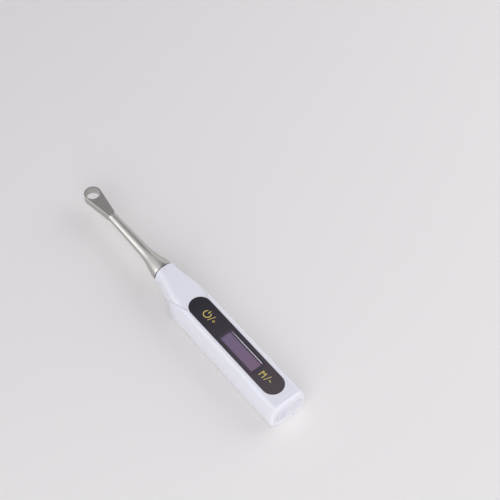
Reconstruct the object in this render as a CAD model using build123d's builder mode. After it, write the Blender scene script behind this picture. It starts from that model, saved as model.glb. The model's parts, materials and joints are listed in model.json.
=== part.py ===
"""Cordless implant torque wrench: a white electronic handle with its metal head plugged in.

The frame starts where the drive shaft crosses the driver bore. X runs back along the wrench
to the end cap, Z is up out of the key panel, and the wrench lies on its flat back.
"""
import os
from math import cos, radians, sin

from build123d import *

os.makedirs("parts", exist_ok=True)

# Driver bore and eye ring
driver_bore_diameter = 7.0
eye_diameter = 8.7
eye_height = 4.4
eye_edge_round = 0.3

# Arm and bell of the head
head_reach = 57.5
arm_tip_diameter = 4.4
arm_middle_diameter = 5.6
web_length = 13.5
web_overlap = 1.0
flare_length = 17.0
flare_hollow = 0.9
bell_diameter = 10.9
bell_rim_length = 1.2
bell_wall = 0.7
bell_recess_depth = 2.0

# Plug of the head
plug_diameter = 6.2
plug_length = 15.5
plug_bore_diameter = 4.6
plug_tip_chamfer = 0.2
plug_floor = 0.6
plug_seat_length = 4.0
plug_groove_from_bell = 5.8
plug_groove_width = 0.9
plug_groove_depth = 0.3
crown_notches = 10
crown_notch_width = 0.7
crown_length = 1.2
seal_width = 0.7
seal_height = 0.45
seal_chamfer = 0.12
seal_squeeze = 0.01
index_pin_diameter = 0.9
index_pin_height = 0.45
index_pin_from_bell = 1.3
index_pin_chamfer = 0.1

# Drive shaft of the head
shaft_diameter = 1.6
bush_diameter = 2.8
bush_length = 3.0
dog_diameter = 4.2
dog_length = 1.6
dog_slot_width = 1.0
dog_slot_depth = 0.9
bevel_teeth = 8
bevel_diameter = 2.8
bevel_length = 1.6
bevel_tooth_depth = 0.45

# White handle
handle_length = 92.4
handle_shoulder_width = 19.2
handle_end_width = 20.2
handle_back_drop = 12.4
back_crown = 0.1
panel_height = 4.2
side_height = -5.8
handle_wall = 1.4
hollow_facets = 4
seam_chamfer = 0.14
nose_diameter = 11.8
nose_flat = 1.2
nose_chamfer = 0.7
neck_length = 26.5
chin_setback = 13.5
chin_top = 0.0
chin_bulge = 3.2
chin_bulge_drop = 2.4
chin_sweep = 8.5
crease_drop = 1.0
cheek_start = 2.0
cheek_length = 14.0
cheek_shares = (0.74, 0.89, 0.98, 1.04)
grip_start = 8.0
back_flat_width = 9.0

# Neck outlines: distance from the nose, half width, top, side, bottom, top flat, back flat
neck_start = (9.0, 7.2, 5.35, -0.8, -7.4, 2.2, 1.8)
neck_middle = (13.5, 8.1, 4.95, -0.9, -7.7, 3.1, 2.1)
neck_shoulder = (18.5, 8.6, 4.5, -1.0, -7.9, 3.9, 2.4)
neck_root = (32.5, 8.8, 3.9, -3.5, -9.0, 5.5, 3.0)

# Key panel and what is under it
panel_setback = 22.6
panel_width = 11.2
panel_end_margin = 5.8
panel_thickness = 0.8
ledge_thickness = 1.0
ledge_relief = 0.3
ledge_start = 3.0
panel_edge_round = 0.12
panel_to_edge = 0.3
display_length = 26.0
display_width = 9.0
display_border = 1.2
display_corner = 0.4
display_to_mode_switch = 1.5
key_diameter = 3.0
key_stroke = 0.25
key_in_from_panel_end = 11.0
mode_key_in_from_panel_end = 10.9
switch_size = 4.6
switch_height = 0.9
switch_corner = 0.3
switch_well_diameter = 1.8
switch_floor = 0.2
plunger_diameter = 1.6
board_thickness = 0.8
board_top = 0.9
board_width = 12.6
board_end_gap = 1.5
board_to_battery = 1.0

# Drive inside the handle
socket_wall = 1.05
socket_collar_length = 1.5
socket_chamfer = 0.15
blade_width = 0.9
blade_length = 3.6
blade_height = 0.7
flange_diameter = 4.2
flange_length = 0.8
output_shaft_diameter = 2.4
bearing_diameter = 4.6
bearing_width = 1.2
race_wall = 0.4
race_groove_depth = 0.2
gear_module = 0.2
gear_teeth = 30
pinion_teeth = 20
gear_face = 2.0
gear_addendum = 0.8
gear_dedendum = 1.2
tooth_root_share = 0.30
tooth_tip_share = 0.12
pinion_shaft_diameter = 1.2
gear_plate_thickness = 1.8
shaft_end_setback = 0.4
pinion_shaft_reach = 1.2
screw_side = 5.9
screw_height = -3.4
screw_shank = 1.2
screw_depth = 2.2
screw_head_diameter = 2.16
screw_head_height = 0.7
sensor_length = 2.0
sensor_wall = 0.9
sensor_rim = 0.5
sensor_slot_width = 2.0
motor_diameter = 9.0
gearbox_length = 9.6
motor_length = 14.0
can_chamfer = 0.4
motor_boss_diameter = 3.2
motor_boss_length = 0.6

# Battery, charging and end cap
battery_front_gap = 1.5
battery_rear_gap = 3.2
battery_width = 14.0
battery_height = 7.0
battery_edge_round = 1.2
battery_end_chamfer = 0.5
tab_length = 3.2
tab_width = 2.0
tab_spacing = 7.2
tab_setback = 2.0
end_cap_thickness = 2.6
end_cap_round = 1.5
end_cap_lip_length = 2.6
end_cap_lip_wall = 1.0
port_width = 9.0
port_height = 3.2
port_depth = 6.4
port_wall = 0.3
port_floor = 1.0
port_tongue_width = 6.2
port_tongue_thickness = 0.6
cover_width = 16.0
cover_height = 7.2
cover_thickness = 1.5
cover_sink = 1.1
cover_tongue_length = 4.0
cover_edge_round = 0.25
cover_collar_wall = 0.5
cover_ribs = 3
cover_rib_pitch = 1.7
cover_rib_width = 0.7
cover_rib_rise = 0.3
charge_board_length = 7.4
charge_board_width = 12.0
motor_room_gap = 1.0
cradle_lip = 0.6

# Clearances
running_clearance = 0.03
slip_clearance = 0.05
seat_clearance = 0.1
loose_clearance = 0.3
flute = 0.2

# Stations along the wrench
nose_x = head_reach + loose_clearance
handle_end_x = nose_x + handle_length
housing_end_x = handle_end_x - end_cap_thickness
plug_tip_x = head_reach + plug_length
plug_root_x = head_reach - bell_recess_depth
chin_x = nose_x + chin_setback
neck_end_x = nose_x + neck_length
panel_front_x = nose_x + panel_setback
panel_rear_x = handle_end_x - panel_end_margin
panel_length = panel_rear_x - panel_front_x
panel_middle_x = (panel_front_x + panel_rear_x) / 2
dog_face_x = plug_tip_x + seat_clearance
blade_tip_x = dog_face_x - blade_height
flange_x = dog_face_x + seat_clearance
bearing_x = flange_x + flange_length + slip_clearance
socket_end_x = bearing_x + bearing_width
gear_x = socket_end_x + loose_clearance
gear_end_x = gear_x + gear_face
plate_x = gear_end_x + loose_clearance
plate_end_x = plate_x + gear_plate_thickness
sensor_end_x = plate_end_x + sensor_length
gearbox_end_x = sensor_end_x + gearbox_length
motor_end_x = gearbox_end_x + motor_length
port_end_x = housing_end_x - seat_clearance
port_x = port_end_x - port_depth
charge_board_x = port_end_x - charge_board_length
battery_x = motor_end_x + battery_front_gap
battery_end_x = charge_board_x - battery_rear_gap
board_x = plate_end_x + board_end_gap
board_end_x = panel_rear_x - board_end_gap

# Radii and heights worked out from the sizes above
driver_bore_radius = driver_bore_diameter / 2
eye_radius = eye_diameter / 2
socket_bore_radius = plug_diameter / 2 + running_clearance
socket_radius = socket_bore_radius + socket_wall
bell_inner_radius = bell_diameter / 2 - bell_wall
gear_distance = gear_module * (gear_teeth + pinion_teeth) / 2
motor_axis_z = -gear_distance
recess_floor = panel_height - panel_thickness
ledge_bottom = recess_floor - ledge_thickness
board_bottom = board_top - board_thickness
power_key_x = panel_front_x + key_in_from_panel_end
mode_key_x = panel_rear_x - mode_key_in_from_panel_end
display_x = mode_key_x - (switch_size + display_length) / 2 - display_to_mode_switch
battery_top = board_bottom - board_to_battery
port_z = (panel_height - handle_back_drop) / 2


def across(x):
    """A plane across the wrench at one station: its x is the wrench's Y, its y is up."""
    return Plane(origin=(x, 0, 0), x_dir=(0, 1, 0), z_dir=(1, 0, 0))


def handle_outline(x, half_width, top, side, bottom, top_flat, back_flat):
    """A closed outline across the handle: flat top and back joined by elliptical flanks."""
    bow = 0.5523
    with BuildSketch(across(x)) as outline:
        with BuildLine():
            Line((-top_flat, top), (top_flat, top))
            for hand in (1, -1):
                Bezier(
                    (hand * top_flat, top),
                    (hand * (top_flat + bow * (half_width - top_flat)), top),
                    (hand * half_width, side + bow * (top - side)),
                    (hand * half_width, side),
                )
                Bezier(
                    (hand * half_width, side),
                    (hand * half_width, side + bow * (bottom - side)),
                    (hand * (back_flat + bow * (half_width - back_flat)), bottom),
                    (hand * back_flat, bottom),
                )
            Line((back_flat, bottom), (-back_flat, bottom))
        make_face()
    return outline.sketch


def body_half_width(x):
    """Half the handle's width, which grows evenly towards the end cap."""
    share = (x - panel_front_x) / (handle_end_x - panel_front_x)
    return (handle_shoulder_width + share * (handle_end_width - handle_shoulder_width)) / 2


def body_outline(x, inset=0.0):
    """The outline of the main grip at one station, drawn in by the inset."""
    return handle_outline(
        x,
        body_half_width(x) - inset,
        panel_height - inset,
        side_height,
        -handle_back_drop - back_crown + inset,
        panel_width / 2 + panel_to_edge - inset / 3,
        back_flat_width / 2 - inset / 3,
    )


def hollow_outline(x, inset):
    """The outline of the hollow inside the grip, its flanks made of flat facets."""
    half_width = body_half_width(x) - inset
    top_flat = panel_width / 2 + panel_to_edge - inset / 3
    back_flat = back_flat_width / 2 - inset / 3
    rise = panel_height - inset - side_height
    fall = handle_back_drop + back_crown - inset + side_height
    flank = []
    for step in range(hollow_facets + 1):
        angle = radians(90 * step / hollow_facets)
        flank.append((top_flat + (half_width - top_flat) * sin(angle), side_height + rise * cos(angle)))
    for step in range(1, hollow_facets + 1):
        angle = radians(90 * step / hollow_facets)
        flank.append((back_flat + (half_width - back_flat) * cos(angle), side_height - fall * sin(angle)))
    other_flank = [(-across_y, up) for across_y, up in reversed(flank)]
    with BuildSketch(across(x)) as outline:
        with BuildLine():
            Polyline(*flank, *other_flank, close=True)
        make_face()
    return outline.sketch


def cylinder_between(start, end, radius, z=0.0, inner=0.0, mode=Mode.ADD):
    """A round bar along the wrench, or a tube when it has an inner radius."""
    with BuildSketch(across(start)) as ring:
        with Locations((0, z)):
            Circle(radius)
            if inner > 0:
                Circle(inner, mode=Mode.SUBTRACT)
    extrude(ring.sketch, amount=end - start, mode=mode)


def gear_outline(x, teeth, z, first_angle, bore):
    """A spur gear of straight-sided teeth, thinned at the pitch circle for backlash."""
    pitch_radius = gear_module * teeth / 2
    tip_radius = pitch_radius + gear_addendum * gear_module
    root_radius = pitch_radius - gear_dedendum * gear_module
    root_half = 360 / teeth * tooth_root_share
    tip_half = 360 / teeth * tooth_tip_share
    corners = []
    for tooth in range(teeth):
        middle = first_angle + 360 / teeth * tooth
        for radius, turn in (
            (root_radius, -root_half),
            (tip_radius, -tip_half),
            (tip_radius, tip_half),
            (root_radius, root_half),
        ):
            angle = radians(middle + turn)
            corners.append((radius * cos(angle), z + radius * sin(angle)))
    with BuildSketch(across(x)) as outline:
        with BuildLine():
            Polyline(*corners, close=True)
        make_face()
        if bore > 0:
            with Locations((0, z)):
                Circle(bore, mode=Mode.SUBTRACT)
    return outline.sketch


def finish(piece, name):
    """Label one finished piece and write its file."""
    piece.part.label = name
    export_step(piece.part, f"parts/{name}.step")


# Head shell: bell, round arm, web and eye ring in one steel body
with BuildPart() as web_and_eye:
    with BuildSketch(Plane.XY.offset(-eye_height / 2)):
        Circle(eye_radius)
        with Locations((web_length + web_overlap, 0)):
            Circle(arm_tip_diameter / 2)
        make_hull()
    extrude(amount=eye_height)
    fillet(web_and_eye.faces().filter_by(Axis.Z).edges(), eye_edge_round)

with BuildPart() as head_shell:
    bell_radius = bell_diameter / 2
    middle_x = head_reach - bell_rim_length - flare_length
    with BuildSketch(Plane.XZ) as arm_profile:
        with BuildLine():
            Line((web_length, 0), (head_reach, 0))
            Line((head_reach, 0), (head_reach, bell_radius))
            Line((head_reach, bell_radius), (head_reach - bell_rim_length, bell_radius))
            Bezier(
                (head_reach - bell_rim_length, bell_radius),
                (head_reach - flare_length / 2.4, bell_radius - flare_hollow),
                (middle_x + flare_length / 2.2, arm_middle_diameter / 2),
                (middle_x, arm_middle_diameter / 2),
            )
            Line((middle_x, arm_middle_diameter / 2), (web_length, arm_tip_diameter / 2))
            Line((web_length, arm_tip_diameter / 2), (web_length, 0))
        make_face()
    revolve(axis=Axis.X)
    add(web_and_eye.part)
    with BuildSketch(Plane.XY.offset(-eye_height / 2)) as bore_plan:
        Circle(driver_bore_radius)
    extrude(amount=eye_height, mode=Mode.SUBTRACT)
    cylinder_between(plug_root_x, head_reach, bell_inner_radius, mode=Mode.SUBTRACT)
    plug_seat_x = plug_root_x - plug_seat_length
    cylinder_between(plug_seat_x, plug_root_x, plug_diameter / 2, mode=Mode.SUBTRACT)
    pinion_room_end_x = driver_bore_radius + bevel_length + 2 * seat_clearance
    pinion_room_radius = bevel_diameter / 2 + seat_clearance
    cylinder_between(0, pinion_room_end_x, pinion_room_radius, mode=Mode.SUBTRACT)
    front_bush_end_x = pinion_room_end_x + bush_length
    cylinder_between(pinion_room_end_x, front_bush_end_x, bush_diameter / 2, mode=Mode.SUBTRACT)
    shaft_room_radius = shaft_diameter / 2 + flute
    cylinder_between(front_bush_end_x, plug_seat_x, shaft_room_radius, mode=Mode.SUBTRACT)
finish(head_shell, "head_shell")

# Plug sleeve: chromed tube pressed into the arm, with a groove, a seal groove and a notched crown
plug_groove_x = head_reach + plug_groove_from_bell
crown_x = plug_tip_x - crown_length
seal_x = crown_x - 2 * seal_width
rear_bush_x = plug_seat_x + plug_floor
with BuildPart() as plug_sleeve:
    cylinder_between(plug_seat_x, plug_tip_x, plug_diameter / 2)
    chamfer(plug_sleeve.edges().group_by(Axis.X)[-1], plug_tip_chamfer)
    shaft_pass = shaft_diameter / 2 + flute
    cylinder_between(plug_seat_x, rear_bush_x, shaft_pass, mode=Mode.SUBTRACT)
    cylinder_between(rear_bush_x, plug_tip_x, plug_bore_diameter / 2, mode=Mode.SUBTRACT)
    groove_inner = plug_diameter / 2 - plug_groove_depth
    cylinder_between(
        plug_groove_x - plug_groove_width / 2,
        plug_groove_x + plug_groove_width / 2,
        plug_diameter,
        inner=groove_inner,
        mode=Mode.SUBTRACT,
    )
    seal_inner = plug_diameter / 2 - seal_height
    cylinder_between(seal_x, seal_x + seal_width, plug_diameter, inner=seal_inner, mode=Mode.SUBTRACT)
    with BuildSketch(across(crown_x)) as notches:
        with PolarLocations(plug_diameter / 2, crown_notches):
            Rectangle(2 * seal_height, crown_notch_width)
    extrude(amount=crown_length, mode=Mode.SUBTRACT)
    index_pin_x = head_reach + index_pin_from_bell
    with BuildSketch(Plane.XY.offset(plug_diameter / 2 - index_pin_height)) as pin_hole:
        with Locations((index_pin_x, 0)):
            Circle(index_pin_diameter / 2)
    extrude(amount=2, mode=Mode.SUBTRACT)
finish(plug_sleeve, "plug_sleeve")

# Plug seal: rubber ring in the seal groove
with BuildPart() as plug_seal:
    cylinder_between(seal_x, seal_x + seal_width, plug_diameter / 2 + seal_squeeze, inner=seal_inner)
    chamfer(plug_seal.edges(), seal_chamfer)
finish(plug_seal, "plug_seal")

# Index pin: stands out of the plug's root and keys it to the nose socket
with BuildPart() as index_pin:
    with BuildSketch(Plane.XY.offset(plug_diameter / 2 - index_pin_height)):
        with Locations((index_pin_x, 0)):
            Circle(index_pin_diameter / 2)
    extrude(amount=2 * index_pin_height)
    chamfer(index_pin.edges().group_by(Axis.Z)[-1], index_pin_chamfer)
finish(index_pin, "index_pin")

# Shaft bushes: bronze sleeves at the eye and in the plug
shaft_hole_radius = shaft_diameter / 2 + running_clearance
with BuildPart() as shaft_bushes:
    cylinder_between(pinion_room_end_x, front_bush_end_x, bush_diameter / 2, inner=shaft_hole_radius)
    rear_bush_end_x = rear_bush_x + bush_length
    cylinder_between(rear_bush_x, rear_bush_end_x, plug_bore_diameter / 2, inner=shaft_hole_radius)
finish(shaft_bushes, "shaft_bushes")

# Drive shaft: bevel pinion at the eye, long slim shaft, slotted disc at the plug's tip
dog_x = plug_tip_x - dog_length
with BuildPart() as drive_shaft:
    bevel_x = pinion_room_end_x - seat_clearance - bevel_length
    cylinder_between(bevel_x, dog_x, shaft_diameter / 2)
    cylinder_between(bevel_x, bevel_x + bevel_length, bevel_diameter / 2)
    with BuildSketch(across(bevel_x)) as flutes:
        with PolarLocations(bevel_diameter / 2, bevel_teeth):
            Circle(bevel_tooth_depth)
    extrude(amount=bevel_length, mode=Mode.SUBTRACT)
    cylinder_between(dog_x, plug_tip_x, dog_diameter / 2)
    with BuildSketch(across(plug_tip_x - dog_slot_depth)) as dog_slot:
        Rectangle(dog_diameter, dog_slot_width)
    extrude(amount=dog_slot_depth, mode=Mode.SUBTRACT)
finish(drive_shaft, "drive_shaft")

# Forms that several handle pieces share
def cavity_form(clearance):
    """The handle's hollow behind the gear room, drawn in by a clearance."""
    sections = [hollow_outline(x, handle_wall + clearance) for x in (plate_x, housing_end_x)]
    with BuildPart() as form:
        loft(sections=sections, ruled=True)
    return form.part


def slab(start, end, bottom=-handle_back_drop, top=nose_diameter, width=handle_end_width):
    """A plain block between two stations, for keeping or cutting a stretch of a form."""
    with BuildPart() as block:
        with BuildSketch(across(start)):
            with Locations((0, (bottom + top) / 2)):
                Rectangle(width, top - bottom)
        extrude(amount=end - start)
    return block.part


# Handle housing: neck and grip joined at a soft crease, then hollowed for everything inside
with BuildPart() as grip_form:
    loft(sections=[body_outline(x) for x in (nose_x + grip_start, housing_end_x)])
    with BuildSketch(Plane.XZ) as grip_side:
        with BuildLine():
            sky = panel_height + 1
            Polyline((housing_end_x, sky), (neck_end_x + 1, sky), (neck_end_x, panel_height))
            Bezier(
                (neck_end_x, panel_height),
                (neck_end_x - cheek_length / 3, panel_height - crease_drop),
                (chin_x + cheek_length / 3, chin_top + chin_bulge),
                (chin_x, chin_top),
            )
            Bezier(
                (chin_x, chin_top),
                (chin_x - chin_bulge, chin_top - chin_bulge_drop),
                (chin_x - chin_bulge / 2, -handle_back_drop),
                (chin_x + chin_sweep, -handle_back_drop),
            )
            Polyline(
                (chin_x + chin_sweep, -handle_back_drop),
                (housing_end_x, -handle_back_drop),
                (housing_end_x, sky),
            )
        make_face()
    extrude(amount=handle_end_width, both=True, mode=Mode.INTERSECT)
    with BuildSketch(Plane.XY.offset(-handle_back_drop - 1)) as grip_plan:
        with BuildLine():
            cheek = handle_shoulder_width / 2
            cheek_x = chin_x - cheek_start
            cheek_end_x = cheek_x + cheek_length
            first, second, third, last = [share * cheek for share in cheek_shares]
            Line((cheek_x, -first), (cheek_x, first))
            for hand in (1, -1):
                Bezier(
                    (cheek_x, hand * first),
                    (cheek_x + cheek_length / 4, hand * second),
                    (cheek_x + cheek_length / 2, hand * third),
                    (cheek_end_x, hand * last),
                )
                Line((cheek_end_x, hand * last), (cheek_end_x, hand * 2 * cheek))
                Line((cheek_end_x, hand * 2 * cheek), (housing_end_x, hand * 2 * cheek))
            Line((housing_end_x, -2 * cheek), (housing_end_x, 2 * cheek))
        make_face()
    extrude(amount=2 * handle_back_drop, mode=Mode.INTERSECT)

neck_radius = nose_diameter / 2
socket_hole_radius = socket_radius + running_clearance
gear_tip_radius = gear_module * (gear_teeth / 2 + gear_addendum)
pinion_tip_radius = gear_module * (pinion_teeth / 2 + gear_addendum)
with BuildPart() as handle_housing:
    neck_outlines = [handle_outline(nose_x, neck_radius, neck_radius, 0, -neck_radius, nose_flat, nose_flat)]
    for setback, *measures in (neck_start, neck_middle, neck_shoulder, neck_root):
        neck_outlines.append(handle_outline(nose_x + setback, *measures))
    loft(sections=neck_outlines)
    add(grip_form.part)
    chamfer(handle_housing.edges().group_by(Axis.X)[0], nose_chamfer)
    chamfer(handle_housing.edges().group_by(Axis.X)[-1], seam_chamfer)
    with BuildSketch(Plane.XY.offset(recess_floor)) as panel_recess:
        with Locations((panel_middle_x, 0)):
            SlotOverall(panel_length, panel_width)
    extrude(amount=2 * panel_thickness, mode=Mode.SUBTRACT)
    add(cavity_form(0), mode=Mode.SUBTRACT)
    cylinder_between(nose_x - 1, socket_end_x, socket_hole_radius, mode=Mode.SUBTRACT)
    with BuildSketch(across(socket_end_x)) as gear_room:
        Circle(gear_tip_radius + loose_clearance)
        with Locations((0, motor_axis_z)):
            Circle(pinion_tip_radius + loose_clearance)
        make_hull()
    extrude(amount=plate_x - socket_end_x, mode=Mode.SUBTRACT)
    with BuildSketch(across(plate_x - screw_depth - flute)) as screw_holes:
        with Locations((-screw_side, screw_height), (screw_side, screw_height)):
            Circle(screw_shank / 2)
    extrude(amount=screw_depth + flute, mode=Mode.SUBTRACT)
    ledge_start_x = plate_x + ledge_start
    add(
        slab(ledge_start_x, housing_end_x, ledge_bottom - ledge_relief, ledge_bottom, panel_width),
        mode=Mode.SUBTRACT,
    )
    with BuildSketch(Plane.XY.offset(ledge_bottom - 2 * ledge_relief)) as ledge_windows:
        with Locations((display_x, 0)):
            Rectangle(display_length + loose_clearance, display_width + loose_clearance)
        with Locations((power_key_x, 0), (mode_key_x, 0)):
            Circle(key_diameter / 2 + seat_clearance)
    extrude(amount=ledge_thickness + 3 * ledge_relief, mode=Mode.SUBTRACT)
finish(handle_housing, "handle_housing")

# Key panel: one flush stadium of dark film over display and keys
with BuildPart() as key_panel:
    with BuildSketch(Plane.XY.offset(recess_floor)):
        with Locations((panel_middle_x, 0)):
            SlotOverall(panel_length - 2 * slip_clearance, panel_width - 2 * slip_clearance)
    extrude(amount=panel_thickness)
    fillet(key_panel.edges().group_by(Axis.Z)[-1], panel_edge_round)
finish(key_panel, "key_panel")

# Display module: glass in a thin frame, standing on the circuit board
with BuildPart() as display_module:
    with BuildSketch(Plane.XY.offset(board_top)):
        with Locations((display_x, 0)):
            RectangleRounded(display_length, display_width, display_corner)
    extrude(amount=recess_floor - board_top)
    with BuildSketch(Plane.XY.offset(recess_floor)):
        with Locations((display_x, 0)):
            Rectangle(display_length - 2 * display_border, display_width - 2 * display_border)
    extrude(amount=-seat_clearance, mode=Mode.SUBTRACT)
finish(display_module, "display_module")

# Circuit board: carries the display and both keys
with BuildPart() as circuit_board:
    with BuildSketch(Plane.XY.offset(board_bottom)):
        with Locations(((board_x + board_end_x) / 2, 0)):
            RectangleRounded(board_end_x - board_x, board_width, board_width / 8)
    extrude(amount=board_thickness)
finish(circuit_board, "circuit_board")

# Keys: a switch body on the board and a sprung plunger below the film, twice
for key_name, key_x in (("power", power_key_x), ("mode", mode_key_x)):
    with BuildPart() as key_switch:
        with BuildSketch(Plane.XY.offset(board_top)):
            with Locations((key_x, 0)):
                RectangleRounded(switch_size, switch_size, switch_corner)
        extrude(amount=switch_height)
        with BuildSketch(Plane.XY.offset(board_top + switch_floor)):
            with Locations((key_x, 0)):
                Circle(switch_well_diameter / 2)
        extrude(amount=switch_height, mode=Mode.SUBTRACT)
    finish(key_switch, f"{key_name}_switch")
    head_bottom = board_top + switch_height + key_stroke + seat_clearance
    plunger_bottom = board_top + switch_floor + key_stroke + seat_clearance
    with BuildPart() as key_plunger:
        with BuildSketch(Plane.XY.offset(head_bottom)):
            with Locations((key_x, 0)):
                Circle(key_diameter / 2)
        extrude(amount=recess_floor - slip_clearance - head_bottom)
        with BuildSketch(Plane.XY.offset(plunger_bottom)):
            with Locations((key_x, 0)):
                Circle(plunger_diameter / 2)
        extrude(amount=head_bottom - plunger_bottom)
    finish(key_plunger, f"{key_name}_plunger")

# Nose socket: turned steel sleeve that takes the plug, keyed at the top for the index pin
with BuildPart() as nose_socket:
    socket_front_x = nose_x - socket_collar_length
    cylinder_between(socket_front_x, socket_end_x, socket_radius)
    chamfer(nose_socket.edges().group_by(Axis.X)[0], socket_chamfer)
    cylinder_between(socket_front_x, flange_x + flange_length, socket_bore_radius, mode=Mode.SUBTRACT)
    cylinder_between(socket_front_x, socket_end_x, bearing_diameter / 2, mode=Mode.SUBTRACT)
    keyway_end_x = index_pin_x + index_pin_diameter / 2 + seat_clearance
    keyway_top = plug_diameter / 2 + index_pin_height + seat_clearance
    with BuildSketch(across(socket_front_x)) as keyway:
        with Locations((0, keyway_top / 2)):
            Rectangle(index_pin_diameter + 2 * slip_clearance, keyway_top)
    extrude(amount=keyway_end_x - socket_front_x, mode=Mode.SUBTRACT)
finish(nose_socket, "nose_socket")

# Output shaft: drive blade, flange, journal and the large gear
with BuildPart() as output_shaft:
    shaft_end_x = plate_end_x - shaft_end_setback
    cylinder_between(flange_x, flange_x + flange_length, flange_diameter / 2)
    cylinder_between(flange_x, shaft_end_x, output_shaft_diameter / 2)
    with BuildSketch(across(blade_tip_x)):
        Rectangle(blade_length, blade_width)
    extrude(amount=flange_x - blade_tip_x)
    extrude(gear_outline(gear_x, gear_teeth, 0, -90, 0), amount=gear_face)
finish(output_shaft, "output_shaft")

# Drive pinion: small gear on the gearbox shaft, in mesh below the large one
with BuildPart() as drive_pinion:
    pinion_first = 90 + 180 / pinion_teeth
    extrude(gear_outline(gear_x, pinion_teeth, motor_axis_z, pinion_first, 0), amount=gear_face)
    cylinder_between(gear_x, sensor_end_x + pinion_shaft_reach, pinion_shaft_diameter / 2, motor_axis_z)
finish(drive_pinion, "drive_pinion")

# Shaft bearings: one in the nose socket, one in the gear plate
with BuildPart() as shaft_bearings:
    for start in (bearing_x, plate_x + seat_clearance):
        race_inner = output_shaft_diameter / 2 + running_clearance
        race_outer = bearing_diameter / 2
        cylinder_between(start, start + bearing_width, race_outer, inner=race_inner)
        for groove_start in (start, start + bearing_width - race_groove_depth):
            cylinder_between(
                groove_start,
                groove_start + race_groove_depth,
                race_outer - race_wall,
                inner=race_inner + race_wall,
                mode=Mode.SUBTRACT,
            )
finish(shaft_bearings, "shaft_bearings")

# Gear plate: closes the gear room and carries the rear bearing
with BuildPart() as gear_plate:
    add(cavity_form(seat_clearance))
    add(slab(plate_x, plate_end_x), mode=Mode.INTERSECT)
    bearing_seat_end_x = plate_x + bearing_width + seat_clearance
    cylinder_between(plate_x, bearing_seat_end_x, bearing_diameter / 2, mode=Mode.SUBTRACT)
    cylinder_between(plate_x, plate_end_x, output_shaft_diameter / 2 + race_wall, mode=Mode.SUBTRACT)
    pinion_pass = pinion_shaft_diameter / 2 + running_clearance
    cylinder_between(plate_x, plate_end_x, pinion_pass, motor_axis_z, mode=Mode.SUBTRACT)
    with BuildSketch(across(plate_x)) as plate_holes:
        with Locations((-screw_side, screw_height), (screw_side, screw_height)):
            Circle(screw_shank / 2 + slip_clearance)
    extrude(amount=gear_plate_thickness, mode=Mode.SUBTRACT)
finish(gear_plate, "gear_plate")

# Plate screws: two cheese-head screws through the gear plate into the housing
with BuildPart() as plate_screws:
    for hand in (1, -1):
        with BuildSketch(across(plate_x - screw_depth)):
            with Locations((hand * screw_side, screw_height)):
                Circle(screw_shank / 2)
        extrude(amount=screw_depth + gear_plate_thickness)
        with BuildSketch(across(plate_end_x)):
            with Locations((hand * screw_side, screw_height)):
                Circle(screw_head_diameter / 2)
        extrude(amount=screw_head_height)
        with BuildSketch(across(plate_end_x + screw_head_height / 2)):
            with Locations((hand * screw_side, screw_height)):
                Rectangle(screw_shank / 4, screw_head_diameter)
        extrude(amount=screw_head_height / 2, mode=Mode.SUBTRACT)
finish(plate_screws, "plate_screws")

# Torque sensor: slotted flexure ring between gear plate and gearbox
with BuildPart() as torque_sensor:
    sensor_radius = motor_diameter / 2
    sensor_bore = sensor_radius - sensor_wall
    cylinder_between(plate_end_x, sensor_end_x, sensor_radius, motor_axis_z, inner=sensor_bore)
    with BuildSketch(across(plate_end_x + sensor_rim)) as flexure_slots:
        with Locations((0, motor_axis_z)):
            Rectangle(2 * motor_diameter, sensor_slot_width)
            Rectangle(sensor_slot_width, 2 * motor_diameter)
    extrude(amount=sensor_length - 2 * sensor_rim, mode=Mode.SUBTRACT)
finish(torque_sensor, "torque_sensor")

# Gearbox and motor: two cans in line on the motor axis
with BuildPart() as reduction_gearbox:
    cylinder_between(sensor_end_x, gearbox_end_x, motor_diameter / 2, motor_axis_z)
    chamfer(reduction_gearbox.edges().group_by(Axis.X)[-1], can_chamfer)
    shaft_room_end_x = sensor_end_x + pinion_shaft_reach + loose_clearance
    cylinder_between(sensor_end_x, shaft_room_end_x, pinion_pass, motor_axis_z, mode=Mode.SUBTRACT)
finish(reduction_gearbox, "reduction_gearbox")

with BuildPart() as drive_motor:
    cylinder_between(gearbox_end_x, motor_end_x, motor_diameter / 2, motor_axis_z)
    chamfer(drive_motor.edges().group_by(Axis.X)[-1], can_chamfer)
    cylinder_between(motor_end_x, motor_end_x + motor_boss_length, motor_boss_diameter / 2, motor_axis_z)
finish(drive_motor, "drive_motor")

# Battery: soft-edged cell with two welded tabs at its front
battery_bottom = battery_top - battery_height
with BuildPart() as battery:
    add(slab(battery_x, battery_end_x, battery_bottom, battery_top, battery_width))
    fillet(battery.edges().filter_by(Axis.X), battery_edge_round)
    chamfer(battery.edges().group_by(Axis.X)[-1], battery_end_chamfer)
finish(battery, "battery")

with BuildPart() as battery_tabs:
    for hand in (1, -1):
        with BuildSketch(Plane.XY.offset(battery_top)):
            with Locations((battery_x + tab_setback, hand * tab_spacing / 2)):
                Rectangle(tab_length, tab_width)
        extrude(amount=board_bottom - battery_top)
finish(battery_tabs, "battery_tabs")

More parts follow.
